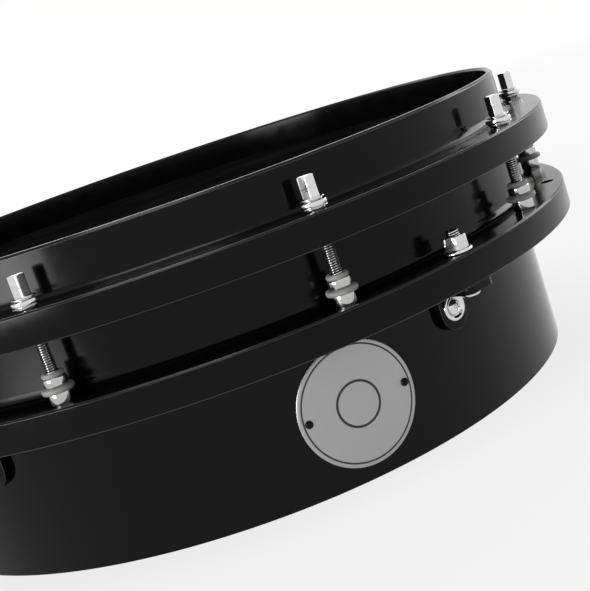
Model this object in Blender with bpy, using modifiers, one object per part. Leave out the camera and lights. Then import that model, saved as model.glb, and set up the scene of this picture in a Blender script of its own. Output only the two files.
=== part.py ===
"""A shallow marching snare drum with a drilled lug ring, ten tension rods and snares under its head.

The frame is metres with +Z up. The origin is on the drum's axis, at the shell's lower edge.
Angles are measured about +Z from +X, and the ten tension rods stand at every 36 degrees.
"""
import math

import bmesh
import bpy
from mathutils import Matrix, Vector

# Clearances and facets
GAP = 0.0003
RING_STEPS = 60
SMALL_STEPS = 10
HOLE_SIDES = 10
KNOB_STEPS = 20
BADGE_SIDES = 32
HEXAGON = 6
FILLET_POINTS = 3
CORNER_POINTS = 4
LEG_POINTS = 9
SHARP_ANGLE = math.radians(35)
MERGE_DISTANCE = 0.00002
THROUGH = 4

# Shell
SHELL_RADIUS = 0.1772
SHELL_WALL = 0.0064
SHELL_HEIGHT = 0.1223
EDGE_ROUND = 0.0016
EDGE_BEVEL = 0.0040
FOOT_ROUND = 0.0006

# Batter head: a film over the bearing edge, held by a flesh hoop
FILM = 0.0004
HEAD_COLLAR = 0.0071
FLESH_WIDTH = 0.0072
FLESH_HEIGHT = 0.0087
FLESH_ROUND = 0.0010

# Top hoop and lug ring, which share the section of their flange and band
COLLAR_PLAY = 0.0013
HOOP_COLLAR_HEIGHT = 0.0212
HOOP_WALL = 0.0030
RING_PLAY = 0.0010
RING_WALL = 0.0036
RING_DROP = 0.0403
BAND_HEIGHT = 0.0137
BAND_WALL = 0.0028
HOOP_FILLET = 0.0040
RING_FILLET = 0.0050
RIM_ROUND = 0.0011
BAND_ROUND = 0.0008
HOOP_TRAVEL = 0.0025
RUNNING_ROOM = 0.0010

# Tension rods, their washers and the barrels that they thread into
LUG_COUNT = 10
ROD_OFFSET = 0.0110
BAND_OFFSET = 0.0082
ROD_RADIUS = 0.0027
ROD_TIP = 0.0009
ROD_PLAY = 0.0006
KEY_WIDTH = 0.0051
KEY_LENGTH = 0.0095
KEY_ROUND = 0.0008
ROD_FLANGE_RADIUS = 0.0054
ROD_FLANGE_HEIGHT = 0.0010
WASHER_RADIUS = 0.0059
WASHER_NECK_RADIUS = 0.0047
WASHER_HEIGHT = 0.0036
WASHER_NECK_HEIGHT = 0.0010
BARREL_RADIUS = 0.0050
BARREL_HEIGHT = 0.0134
SPIGOT_RADIUS = 0.0042
SPIGOT_DEPTH = 0.0040
GROMMET_RADIUS = 0.0068
GROMMET_LOW = 0.0052
GROMMET_HEIGHT = 0.0024
GROMMET_CROWN = 0.0008
CAP_HEIGHT = 0.0021
CAP_INSET = 0.0003
ROD_PAST_BARREL = 0.0030

# Brackets that carry the lug ring on the shell, at every second gap between rods
BRACKET_COUNT = 5
BRACKET_TURN = math.radians(-54)
BRACKET_WIDTH = 0.0162
BRACKET_PLATE = 0.0032
ARM_CORNER = 0.0036
ARM_SETBACK = 0.0006
BRACKET_LEG = 0.0205
SCREW_RISE = 0.0103
BOLT_RADIUS = 0.0030
NUT_ACROSS = 0.0100
NUT_HEIGHT = 0.0060
NUT_FLANGE_RADIUS = 0.0067
NUT_FLANGE_HEIGHT = 0.0014
BOLT_END = 0.0040
SLEEVE_RADIUS = 0.0046
BOLT_HEAD_RADIUS = 0.0047
BOLT_HEAD_FACE = 0.0032
BOLT_HEAD_HEIGHT = 0.0022
SCREW_RADIUS = 0.0024
SCREW_HEAD_RADIUS = 0.0036
SCREW_FACE_RADIUS = 0.0022
SCREW_HEAD_HEIGHT = 0.0020
CUP_RADIUS = 0.0064
CUP_SLOPE = 0.0007
CUP_HEIGHT = 0.0013
INNER_NUT_RADIUS = 0.0045
INNER_NUT_HEIGHT = 0.0030

# Badge
BADGE_TURN = math.radians(-72.9)
BADGE_RADIUS = 0.0274
BADGE_PLATE = 0.0010
BADGE_RAISE = 0.0016
RIVET_SPREAD = 0.0231
RIVET_RADIUS = 0.0018
RIVET_DOME = 0.0010
RIVET_FACE_RADIUS = 0.0012
RIVET_SHOULDER = 0.0007
RIVET_SHANK_RADIUS = 0.0011
RIVET_SHANK_DEPTH = 0.0040

# Snares under the batter head, across the drum
SNARE_TURN = math.radians(36)
STRAND_COUNT = 10
STRAND_RADIUS = 0.0006
STRAND_PITCH = 0.0036
END_PLATE_LENGTH = 0.0120
END_PLATE_HEIGHT = 0.0020
END_PLATE_MARGIN = 0.0030
END_PLATE_SETBACK = 0.0090
BLOCK_LENGTH = 0.0300
BLOCK_PLATE = 0.0032
BLOCK_MARGIN = 0.0020
BLOCK_LEG = 0.0250
WALL_SEAT_DROP = 0.0016
CARRIAGE_STEP = 0.0080
CARRIAGE_LENGTH = 0.0210
WEB_WIDTH = 0.0240
WEB_HEIGHT = 0.0180
WEB_SETBACK = 0.0120
ADJUSTER_DROP = 0.0165
ADJUSTER_RADIUS = 0.0022
KNOB_RADIUS = 0.0080
KNOB_LENGTH = 0.0070
KNOB_LOBES = 6
NOTCH_RADIUS = 0.0020

# Radii that follow from the sizes above
FILM_INNER = SHELL_RADIUS + GAP
FILM_OUTER = FILM_INNER + FILM
FLESH_INNER = FILM_OUTER + GAP
COLLAR_INNER = FILM_OUTER + COLLAR_PLAY
COLLAR_OUTER = COLLAR_INNER + HOOP_WALL
RING_INNER = SHELL_RADIUS + RING_PLAY
RING_OUTER = RING_INNER + RING_WALL
ROD_CIRCLE = max(COLLAR_OUTER, RING_OUTER) + ROD_OFFSET
BAND_RADIUS = ROD_CIRCLE + BAND_OFFSET
ROD_HOLE = ROD_RADIUS + ROD_PLAY
BARREL_BORE = ROD_RADIUS + GAP
SPIGOT_HOLE = SPIGOT_RADIUS + GAP
BOLT_HOLE = BOLT_RADIUS + GAP
SCREW_HOLE = SCREW_RADIUS + GAP
RIVET_HOLE = RIVET_SHANK_RADIUS + GAP

# Heights that follow from the sizes above
FLESH_TOP = SHELL_HEIGHT - HEAD_COLLAR
FLESH_BOTTOM = FLESH_TOP - FLESH_HEIGHT
HOOP_UNDER = FLESH_TOP + GAP
HOOP_FLANGE = HOOP_UNDER + HOOP_WALL
RIM_TOP = HOOP_FLANGE + HOOP_COLLAR_HEIGHT
RING_FLANGE = HOOP_FLANGE - RING_DROP
RING_UNDER = RING_FLANGE - HOOP_WALL
RING_BOTTOM = RING_FLANGE - BAND_HEIGHT
RING_COLLAR_TOP = FLESH_BOTTOM - HOOP_TRAVEL - RUNNING_ROOM
ARM_TOP = RING_BOTTOM - GAP
ARM_BOTTOM = ARM_TOP - BRACKET_PLATE
BARREL_BOTTOM = RING_UNDER - SPIGOT_DEPTH
ROD_END = BARREL_BOTTOM - ROD_PAST_BARREL
SNARE_TOP = SHELL_HEIGHT
END_PLATE_BOTTOM = SNARE_TOP - END_PLATE_HEIGHT
BLOCK_TOP = END_PLATE_BOTTOM - GAP
END_PLATE_WIDTH = (STRAND_COUNT - 1) * STRAND_PITCH + 2 * END_PLATE_MARGIN
BLOCK_WIDTH = END_PLATE_WIDTH + 2 * BLOCK_MARGIN
WALL_SEAT = math.sqrt((SHELL_RADIUS - SHELL_WALL) ** 2 - (BLOCK_WIDTH / 2) ** 2) - GAP
BADGE_HEIGHT = RING_BOTTOM / 2 + BADGE_RAISE


def clear_scene():
    for item in list(bpy.data.objects):
        bpy.data.objects.remove(item)


def new_collection(name):
    group = bpy.data.collections.new(name)
    bpy.context.scene.collection.children.link(group)
    return group


def new_material(name, color, roughness, metallic):
    material = bpy.data.materials.new(name)
    material.use_nodes = True
    shader = material.node_tree.nodes["Principled BSDF"]
    shader.inputs["Base Color"].default_value = (*color, 1.0)
    shader.inputs["Roughness"].default_value = roughness
    shader.inputs["Metallic"].default_value = metallic
    material.diffuse_color = (*color, 1.0)
    return material


def add_object(name, mesh, group):
    item = bpy.data.objects.new(name, mesh)
    group.objects.link(item)
    return item


def evaluated_mesh(item):
    """The item's mesh with its modifiers applied."""
    bpy.context.view_layer.update()
    graph = bpy.context.evaluated_depsgraph_get()
    return bpy.data.meshes.new_from_object(item.evaluated_get(graph))


def settle(item):
    """Applies the item's modifiers and shades it smooth between its sharp edges."""
    mesh = evaluated_mesh(item)
    item.modifiers.clear()
    item.data = mesh
    mesh.shade_smooth()
    mesh.set_sharp_from_angle(angle=SHARP_ANGLE)
    return item


def turned(name, profile, steps, group, closed=False):
    """A profile of (radius, height) points, outer side downwards, turned about Z."""
    mesh = bpy.data.meshes.new(name)
    points = [(radius, 0.0, height) for radius, height in profile]
    count = len(points)
    edges = [(i, i + 1) for i in range(count - 1)]
    if closed:
        edges.append((count - 1, 0))
    mesh.from_pydata(points, edges, [])
    item = add_object(name, mesh, group)
    screw = item.modifiers.new("turn", "SCREW")
    screw.steps = steps
    screw.render_steps = steps
    screw.use_merge_vertices = True
    screw.merge_threshold = MERGE_DISTANCE
    return settle(item)


def box(name, low, high, group):
    """A box between two corners."""
    shape = bmesh.new()
    bmesh.ops.create_cube(shape, size=1.0)
    low = Vector(low)
    high = Vector(high)
    bmesh.ops.scale(shape, vec=high - low, verts=shape.verts)
    bmesh.ops.translate(shape, vec=(low + high) / 2, verts=shape.verts)
    mesh = bpy.data.meshes.new(name)
    shape.to_mesh(mesh)
    shape.free()
    return add_object(name, mesh, group)


def cylinders(name, radius, length, sides, places, group):
    """Cylinders along Z, of one radius and length, moved to each matrix in places."""
    shape = bmesh.new()
    for place in places:
        bmesh.ops.create_cone(shape, cap_ends=True, segments=sides, radius1=radius,
                              radius2=radius, depth=length, matrix=place)
    mesh = bpy.data.meshes.new(name)
    shape.to_mesh(mesh)
    shape.free()
    return add_object(name, mesh, group)


def flat_outline(name, points, thickness, group):
    """A flat plate in the XY plane, centred on it, from an outline of points."""
    curve = bpy.data.curves.new(name, "CURVE")
    curve.dimensions = "2D"
    curve.fill_mode = "BOTH"
    curve.extrude = thickness / 2
    spline = curve.splines.new("POLY")
    spline.points.add(len(points) - 1)
    for knot, (x, y) in zip(spline.points, points):
        knot.co = (x, y, 0.0, 1.0)
    spline.use_cyclic_u = True
    source = add_object(name + "_outline", curve, group)
    mesh = evaluated_mesh(source)
    bpy.data.objects.remove(source)
    shape = bmesh.new()
    shape.from_mesh(mesh)
    bmesh.ops.remove_doubles(shape, verts=shape.verts, dist=MERGE_DISTANCE)
    bmesh.ops.recalc_face_normals(shape, faces=shape.faces)
    shape.to_mesh(mesh)
    shape.free()
    return add_object(name, mesh, group)


def arc(center, radius, start, end, count):
    """Points on an arc, from start to end in degrees."""
    turns = [math.radians(start + (end - start) * i / (count - 1)) for i in range(count)]
    return [(center[0] + radius * math.cos(t), center[1] + radius * math.sin(t)) for t in turns]


def combine(item, other, operation):
    """Cuts, joins or intersects the item with the other."""
    step = item.modifiers.new(operation.lower(), "BOOLEAN")
    step.operation = operation
    step.solver = "EXACT"
    step.object = other
    return settle(item)


def cut(item, cutter):
    combine(item, cutter, "DIFFERENCE")
    cutter.hide_render = True
    cutter.display_type = "WIRE"


def join(item, other):
    """Joins the other into the item and removes the other."""
    combine(item, other, "UNION")
    bpy.data.objects.remove(other)


def move_mesh(item, matrix):
    item.data.transform(matrix)
    return item


def around(turn, radius, height):
    """A place on the drum: +X points outwards from the axis, and +Z up."""
    return Matrix.Rotation(turn, 4, "Z") @ Matrix.Translation((radius, 0.0, height))


def outwards(turn, radius, height):
    """A place on the drum whose +Z points outwards from the axis."""
    return around(turn, radius, height) @ Matrix.Rotation(math.radians(90), 4, "Y")


def copies(name, item, places, group, material):
    """One object for each place, all with the item's mesh. The item itself goes."""
    mesh = item.data
    mesh.materials.clear()
    mesh.materials.append(material)
    bpy.data.objects.remove(item)
    for number, place in enumerate(places, start=1):
        piece = add_object(f"{name}_{number:02d}", mesh, group)
        piece.matrix_world = place


def dress(item, material):
    item.data.materials.clear()
    item.data.materials.append(material)
    return item


def lug_turns():
    return [2 * math.pi * i / LUG_COUNT for i in range(LUG_COUNT)]


def gap_turns():
    return [turn + math.pi / LUG_COUNT for turn in lug_turns()]


def bracket_turns():
    return [BRACKET_TURN + 2 * math.pi * i / BRACKET_COUNT for i in range(BRACKET_COUNT)]


def ring_profile(inner, outer, top, flange, fillet):
    """The section that the hoop and the lug ring share: collar, flange and turned-down band."""
    bottom = flange - BAND_HEIGHT
    band_inner = BAND_RADIUS - BAND_WALL
    return [
        (inner + RIM_ROUND, top),
        (outer - RIM_ROUND, top),
        (outer, top - RIM_ROUND),
        *arc((outer + fillet, flange + fillet), fillet, 180, 270, FILLET_POINTS),
        (BAND_RADIUS - BAND_ROUND, flange),
        (BAND_RADIUS, flange - BAND_ROUND),
        (BAND_RADIUS, bottom),
        (band_inner, bottom),
        (band_inner, flange - HOOP_WALL),
        (inner, flange - HOOP_WALL),
        (inner, top - RIM_ROUND),
    ]


def make_shell(parts, cutters, material):
    inner = SHELL_RADIUS - SHELL_WALL
    profile = [
        (SHELL_RADIUS - EDGE_ROUND, SHELL_HEIGHT),
        (SHELL_RADIUS, SHELL_HEIGHT - EDGE_ROUND),
        (SHELL_RADIUS, FOOT_ROUND),
        (SHELL_RADIUS - FOOT_ROUND, 0.0),
        (inner + FOOT_ROUND, 0.0),
        (inner, FOOT_ROUND),
        (inner, SHELL_HEIGHT - EDGE_BEVEL),
    ]
    shell = turned("shell", profile, RING_STEPS, parts, closed=True)
    middle = SHELL_RADIUS - SHELL_WALL / 2
    screws = [outwards(turn, middle, screw_height()) for turn in bracket_turns()]
    cut(shell, cylinders("shell_screw_holes", SCREW_HOLE, SHELL_WALL * THROUGH, HOLE_SIDES, screws, cutters))
    rivets = [outwards(turn, SHELL_RADIUS, BADGE_HEIGHT) for turn in rivet_turns()]
    depth = 2 * (RIVET_SHANK_DEPTH + GAP)
    cut(shell, cylinders("shell_rivet_holes", RIVET_HOLE, depth, HOLE_SIDES, rivets, cutters))
    dress(shell, material)


def make_head(parts, film_material, hoop_material):
    round_outer = EDGE_ROUND + GAP + FILM
    top = SHELL_HEIGHT + GAP + FILM
    skirt = FLESH_TOP - FLESH_HEIGHT + FLESH_ROUND
    profile = [
        (0.0, top),
        (FILM_OUTER - round_outer, top),
        (FILM_OUTER, top - round_outer),
        (FILM_OUTER, skirt),
        (FILM_INNER, skirt),
        (FILM_INNER, SHELL_HEIGHT - EDGE_ROUND + GAP / 2),
        (FILM_INNER - EDGE_ROUND - GAP / 2, SHELL_HEIGHT + GAP),
        (0.0, SHELL_HEIGHT + GAP),
    ]
    dress(turned("batter_head", profile, RING_STEPS, parts), film_material)
    outer = FLESH_INNER + FLESH_WIDTH
    flesh = [
        (FLESH_INNER, FLESH_TOP),
        (outer - FLESH_ROUND, FLESH_TOP),
        (outer, FLESH_TOP - FLESH_ROUND),
        (outer, FLESH_BOTTOM),
        (FLESH_INNER, FLESH_BOTTOM),
    ]
    dress(turned("flesh_hoop", flesh, RING_STEPS, parts, closed=True), hoop_material)


def make_top_hoop(parts, cutters, material):
    profile = ring_profile(COLLAR_INNER, COLLAR_OUTER, RIM_TOP, HOOP_FLANGE, HOOP_FILLET)
    hoop = turned("top_hoop", profile, RING_STEPS, parts, closed=True)
    places = [around(turn, ROD_CIRCLE, HOOP_FLANGE) for turn in lug_turns()]
    cut(hoop, cylinders("hoop_rod_holes", ROD_HOLE, HOOP_WALL * THROUGH, HOLE_SIDES, places, cutters))
    dress(hoop, material)


def make_lug_ring(parts, cutters, material):
    profile = ring_profile(RING_INNER, RING_OUTER, RING_COLLAR_TOP, RING_FLANGE, RING_FILLET)
    ring = turned("lug_ring", profile, RING_STEPS, parts, closed=True)
    lugs = [around(turn, ROD_CIRCLE, RING_FLANGE) for turn in lug_turns()]
    cut(ring, cylinders("ring_barrel_holes", SPIGOT_HOLE, HOOP_WALL * THROUGH, HOLE_SIDES, lugs, cutters))
    gaps = [around(turn, ROD_CIRCLE, RING_FLANGE) for turn in gap_turns()]
    cut(ring, cylinders("ring_bolt_holes", BOLT_HOLE, HOOP_WALL * THROUGH, HOLE_SIDES, gaps, cutters))
    dress(ring, material)


def make_tension_rods(parts, material):
    """The rod's origin is on its own axis, on the hoop's flange."""
    seat = WASHER_HEIGHT + 2 * GAP
    flange_top = seat + ROD_FLANGE_HEIGHT
    end = ROD_END - HOOP_FLANGE
    profile = [
        (0.0, flange_top),
        (ROD_FLANGE_RADIUS, flange_top),
        (ROD_FLANGE_RADIUS, seat),
        (ROD_RADIUS, seat),
        (ROD_RADIUS, end + ROD_TIP),
        (ROD_RADIUS - ROD_TIP, end),
        (0.0, end),
    ]
    rod = turned("tension_rod", profile, SMALL_STEPS, parts)
    half = KEY_WIDTH / 2
    sunk = ROD_FLANGE_HEIGHT / 2
    key = box("key_head", (-half, -half, flange_top - sunk), (half, half, flange_top + KEY_LENGTH), parts)
    rounding = key.modifiers.new("rounding", "BEVEL")
    rounding.width = KEY_ROUND
    rounding.segments = 1
    join(rod, settle(key))
    places = [around(turn, ROD_CIRCLE, HOOP_FLANGE) for turn in lug_turns()]
    copies("tension_rod", rod, places, parts, material)


def make_washers(parts, material):
    """A stepped washer under each rod's flange, standing on the hoop's flange."""
    bore = ROD_HOLE
    top = GAP + WASHER_HEIGHT
    neck = GAP + WASHER_NECK_HEIGHT
    profile = [
        (bore, top),
        (WASHER_RADIUS, top),
        (WASHER_RADIUS, neck),
        (WASHER_NECK_RADIUS, neck),
        (WASHER_NECK_RADIUS, GAP),
        (bore, GAP),
    ]
    washer = turned("rod_washer", profile, SMALL_STEPS, parts, closed=True)
    places = [around(turn, ROD_CIRCLE, HOOP_FLANGE) for turn in lug_turns()]
    copies("rod_washer", washer, places, parts, material)


def make_barrels(parts, material):
    """A barrel nut with its nylon grommet and cap, standing in the lug ring's flange."""
    top = GAP + BARREL_HEIGHT
    cap = top - CAP_HEIGHT
    grommet_top = GROMMET_LOW + GROMMET_HEIGHT
    profile = [
        (BARREL_BORE, top),
        (BARREL_RADIUS - CAP_INSET, top),
        (BARREL_RADIUS - CAP_INSET, cap),
        (BARREL_RADIUS, cap),
        (BARREL_RADIUS, grommet_top),
        (GROMMET_RADIUS - GROMMET_CROWN, grommet_top),
        (GROMMET_RADIUS, grommet_top - GROMMET_CROWN),
        (GROMMET_RADIUS, GROMMET_LOW),
        (BARREL_RADIUS, GROMMET_LOW),
        (BARREL_RADIUS, GAP),
        (SPIGOT_RADIUS, GAP),
        (SPIGOT_RADIUS, BARREL_BOTTOM - RING_FLANGE),
        (BARREL_BORE, BARREL_BOTTOM - RING_FLANGE),
    ]
    barrel = turned("barrel_nut", profile, SMALL_STEPS, parts, closed=True)
    places = [around(turn, ROD_CIRCLE, RING_FLANGE) for turn in lug_turns()]
    copies("barrel_nut", barrel, places, parts, material)


def screw_height():
    """The height of the screws that fix the brackets to the shell."""
    return ARM_TOP - BRACKET_LEG + SCREW_RISE


def make_brackets(parts, cutters, material):
    """An L of flat bar: a leg on the shell, and an arm out under the lug ring's band."""
    half = BRACKET_WIDTH / 2
    seat = SHELL_RADIUS + GAP
    reach = BAND_RADIUS - ARM_SETBACK - seat
    leg_foot = ARM_TOP - BRACKET_LEG
    corners = [(0.0, half), (0.0, -half)]
    corners += arc((reach - ARM_CORNER, -half + ARM_CORNER), ARM_CORNER, -90, 0, CORNER_POINTS)
    corners += arc((reach - ARM_CORNER, half - ARM_CORNER), ARM_CORNER, 0, 90, CORNER_POINTS)
    bracket = flat_outline("bracket", corners, BRACKET_PLATE, parts)
    move_mesh(bracket, Matrix.Translation((0.0, 0.0, (ARM_TOP + ARM_BOTTOM) / 2)))
    rounded = [(half, 0.0), (-half, 0.0)]
    rounded += arc((0.0, leg_foot - ARM_TOP + half), half, 180, 360, LEG_POINTS)
    leg = flat_outline("bracket_leg", rounded, BRACKET_PLATE, parts)
    upright = Matrix.Rotation(math.radians(90), 4, "Z") @ Matrix.Rotation(math.radians(90), 4, "X")
    move_mesh(leg, Matrix.Translation((BRACKET_PLATE / 2, 0.0, ARM_TOP)) @ upright)
    join(bracket, leg)
    across = Matrix.Rotation(math.radians(90), 4, "Y")
    holes = [Matrix.Translation((0.0, 0.0, screw_height())) @ across]
    length = BRACKET_PLATE * THROUGH
    cut(bracket, cylinders("bracket_screw_hole", SCREW_HOLE, length, HOLE_SIDES, holes, cutters))
    bolts = [Matrix.Translation((ROD_CIRCLE - seat, 0.0, ARM_TOP))]
    cut(bracket, cylinders("bracket_bolt_hole", BOLT_HOLE, length, HOLE_SIDES, bolts, cutters))
    places = [around(turn, seat, 0.0) for turn in bracket_turns()]
    copies("ring_bracket", bracket, places, parts, material)


def make_ring_bolts(parts, material):
    """A bolt up through the arm and the ring, with its spacer sleeve and flanged nut."""
    nut_flange = GAP + NUT_FLANGE_HEIGHT
    nut_top = nut_flange + NUT_HEIGHT
    sleeve_top = -HOOP_WALL - GAP
    arm_top = ARM_TOP - RING_FLANGE
    head_top = ARM_BOTTOM - RING_FLANGE - GAP
    profile = [
        (0.0, nut_top + BOLT_END),
        (BOLT_RADIUS, nut_top + BOLT_END),
        (BOLT_RADIUS, nut_flange),
        (NUT_FLANGE_RADIUS, GAP + NUT_FLANGE_HEIGHT / 2),
        (NUT_FLANGE_RADIUS, GAP),
        (BOLT_RADIUS, GAP),
        (BOLT_RADIUS, sleeve_top),
        (SLEEVE_RADIUS, sleeve_top),
        (SLEEVE_RADIUS, arm_top + GAP),
        (BOLT_RADIUS, arm_top + GAP),
        (BOLT_RADIUS, head_top),
        (BOLT_HEAD_RADIUS, head_top),
        (BOLT_HEAD_FACE, head_top - BOLT_HEAD_HEIGHT),
        (0.0, head_top - BOLT_HEAD_HEIGHT),
    ]
    bolt = turned("ring_bolt", profile, SMALL_STEPS, parts)
    corner = NUT_ACROSS / math.sqrt(3)
    low = GAP + NUT_FLANGE_HEIGHT / 2
    middle = [Matrix.Translation((0.0, 0.0, (low + nut_top) / 2))]
    join(bolt, cylinders("hex_nut", corner, nut_top - low, HEXAGON, middle, parts))
    places = [around(turn, ROD_CIRCLE, RING_FLANGE) for turn in bracket_turns()]
    copies("ring_bolt", bolt, places, parts, material)


def make_shell_screws(parts, material):
    """A screw with a cup washer outside and a nut inside. Its +Z points out of the shell."""
    cup = BRACKET_PLATE + 2 * GAP
    inner = -SHELL_WALL - GAP
    head = cup + CUP_HEIGHT
    profile = [
        (0.0, head + SCREW_HEAD_HEIGHT),
        (SCREW_FACE_RADIUS, head + SCREW_HEAD_HEIGHT),
        (SCREW_HEAD_RADIUS, head),
        (CUP_RADIUS - CUP_SLOPE, head),
        (CUP_RADIUS, cup),
        (SCREW_RADIUS, cup),
        (SCREW_RADIUS, inner),
        (INNER_NUT_RADIUS, inner),
        (INNER_NUT_RADIUS, inner - INNER_NUT_HEIGHT),
        (0.0, inner - INNER_NUT_HEIGHT),
    ]
    screw = turned("shell_screw", profile, SMALL_STEPS, parts)
    places = [outwards(turn, SHELL_RADIUS, screw_height()) for turn in bracket_turns()]
    copies("shell_screw", screw, places, parts, material)


def rivet_turns():
    return [BADGE_TURN + side * RIVET_SPREAD / SHELL_RADIUS for side in (-1, 1)]


def make_badge(parts, cutters, plate_material, rivet_material):
    """A plain disc that follows the shell's curve, held by two rivets."""
    seat = SHELL_RADIUS + GAP
    reach = BADGE_RADIUS + RIM_ROUND
    profile = [
        (seat + BADGE_PLATE, BADGE_HEIGHT + reach),
        (seat + BADGE_PLATE, BADGE_HEIGHT - reach),
        (seat, BADGE_HEIGHT - reach),
        (seat, BADGE_HEIGHT + reach),
    ]
    badge = turned("badge", profile, RING_STEPS, parts, closed=True)
    spot = [outwards(BADGE_TURN, seat, BADGE_HEIGHT)]
    outline = cylinders("badge_outline", BADGE_RADIUS, BADGE_RADIUS, BADGE_SIDES, spot, cutters)
    combine(badge, outline, "INTERSECT")
    outline.hide_render = True
    outline.display_type = "WIRE"
    holes = [outwards(turn, seat, BADGE_HEIGHT) for turn in rivet_turns()]
    cut(badge, cylinders("badge_rivet_holes", RIVET_HOLE, BADGE_PLATE * THROUGH, HOLE_SIDES, holes, cutters))
    dress(badge, plate_material)
    under = BADGE_PLATE + 2 * GAP
    profile = [
        (0.0, under + RIVET_DOME),
        (RIVET_FACE_RADIUS, under + RIVET_SHOULDER),
        (RIVET_RADIUS, under),
        (RIVET_SHANK_RADIUS, under),
        (RIVET_SHANK_RADIUS, -RIVET_SHANK_DEPTH),
        (0.0, -RIVET_SHANK_DEPTH),
    ]
    rivet = turned("badge_rivet", profile, SMALL_STEPS, parts)
    places = [outwards(turn, SHELL_RADIUS, BADGE_HEIGHT) for turn in rivet_turns()]
    copies("badge_rivet", rivet, places, parts, rivet_material)


def snare_piece(item, material):
    """Turns a piece that was made along +X to the snares' own direction."""
    item.matrix_world = Matrix.Rotation(SNARE_TURN, 4, "Z")
    return dress(item, material)


def make_snare_strands(parts, material):
    """Straight strands side by side, cast into a plate at each end."""
    butt = -(WALL_SEAT - END_PLATE_SETBACK)
    adjust = carriage_start() + (CARRIAGE_LENGTH - END_PLATE_LENGTH) / 2
    half = END_PLATE_WIDTH / 2
    strands = box("snare_strands", (butt, -half, END_PLATE_BOTTOM),
                  (butt + END_PLATE_LENGTH, half, SNARE_TOP), parts)
    far = box("far_plate", (adjust, -half, END_PLATE_BOTTOM),
              (adjust + END_PLATE_LENGTH, half, SNARE_TOP), parts)
    join(strands, far)
    start = butt + END_PLATE_LENGTH / 2
    length = adjust + END_PLATE_LENGTH / 2 - start
    height = SNARE_TOP - END_PLATE_HEIGHT / 2
    along = Matrix.Rotation(math.radians(90), 4, "Y")
    first = -(STRAND_COUNT - 1) * STRAND_PITCH / 2
    places = []
    for number in range(STRAND_COUNT):
        middle = (start + length / 2, first + number * STRAND_PITCH, height)
        places.append(Matrix.Translation(middle) @ along)
    join(strands, cylinders("strands", STRAND_RADIUS, length, HEXAGON, places, parts))
    snare_piece(strands, material)


def make_butt_block(parts, material):
    """The fixed end: a shelf under the strands' end plate, and a leg on the shell's wall."""
    half = BLOCK_WIDTH / 2
    block = box("snare_butt", (-WALL_SEAT, -half, BLOCK_TOP - BLOCK_PLATE),
                (-WALL_SEAT + BLOCK_LENGTH, half, BLOCK_TOP), parts)
    leg = box("butt_leg", (-WALL_SEAT, -half, BLOCK_TOP - BLOCK_LEG),
              (-WALL_SEAT + BLOCK_PLATE, half, BLOCK_TOP - BLOCK_PLATE / 2), parts)
    join(block, leg)
    snare_piece(block, material)


def carriage_start():
    return WALL_SEAT - BLOCK_LENGTH - CARRIAGE_STEP / 2


def adjuster_height():
    return BLOCK_TOP - ADJUSTER_DROP


def make_adjuster(parts, cutters, frame_material, screw_material):
    """The adjustable end: a wall block, a carriage on it, and a screw that draws the carriage."""
    half = BLOCK_WIDTH / 2
    web = WEB_WIDTH / 2
    shelf_top = BLOCK_TOP - BLOCK_PLATE - GAP
    shelf_bottom = shelf_top - BLOCK_PLATE
    along = Matrix.Rotation(math.radians(90), 4, "Y")
    block = box("adjuster_block", (WALL_SEAT - BLOCK_LENGTH + CARRIAGE_STEP / 2, -half, shelf_bottom),
                (WALL_SEAT, half, shelf_top), parts)
    leg = box("adjuster_leg", (WALL_SEAT - BLOCK_PLATE, -half, BLOCK_TOP - BLOCK_LEG),
              (WALL_SEAT, half, shelf_top - BLOCK_PLATE / 2), parts)
    join(block, leg)
    lug = WALL_SEAT - WEB_SETBACK
    lug_box = box("adjuster_web", (lug - BLOCK_PLATE, -web, BLOCK_TOP - BLOCK_PLATE - WEB_HEIGHT),
                  (lug, web, shelf_top - BLOCK_PLATE / 2), parts)
    join(block, lug_box)
    bore = [Matrix.Translation((lug, 0.0, adjuster_height())) @ along]
    hole = ADJUSTER_RADIUS + GAP
    cut(block, cylinders("adjuster_block_bore", hole, BLOCK_PLATE * THROUGH, HOLE_SIDES, bore, cutters))
    snare_piece(block, frame_material)

    start = carriage_start()
    carriage = box("snare_carriage", (start, -half, BLOCK_TOP - BLOCK_PLATE),
                   (start + CARRIAGE_LENGTH, half, BLOCK_TOP), parts)
    drop = box("carriage_leg", (start, -web, BLOCK_TOP - BLOCK_PLATE - WEB_HEIGHT),
               (start + BLOCK_PLATE, web, BLOCK_TOP - BLOCK_PLATE / 2), parts)
    join(carriage, drop)
    bore = [Matrix.Translation((start, 0.0, adjuster_height())) @ along]
    cut(carriage, cylinders("carriage_bore", hole, BLOCK_PLATE * THROUGH, HOLE_SIDES, bore, cutters))
    snare_piece(carriage, frame_material)

    reach = lug - start
    knob = [
        (0.0, reach),
        (ADJUSTER_RADIUS, reach),
        (ADJUSTER_RADIUS, -GAP),
        (KNOB_RADIUS, -GAP),
        (KNOB_RADIUS, -GAP - KNOB_LENGTH),
        (0.0, -GAP - KNOB_LENGTH),
    ]
    screw = turned("adjuster_screw", knob, KNOB_STEPS, parts)
    places = []
    for number in range(KNOB_LOBES):
        turn = 2 * math.pi * number / KNOB_LOBES
        place = (KNOB_RADIUS * math.cos(turn), KNOB_RADIUS * math.sin(turn), -KNOB_LENGTH / 2)
        places.append(Matrix.Translation(place))
    cut(screw, cylinders("knob_notches", NOTCH_RADIUS, KNOB_LENGTH * THROUGH, HOLE_SIDES, places, cutters))
    dress(screw, screw_material)
    screw.matrix_world = (Matrix.Rotation(SNARE_TURN, 4, "Z")
                          @ Matrix.Translation((start, 0.0, adjuster_height())) @ along)


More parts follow.
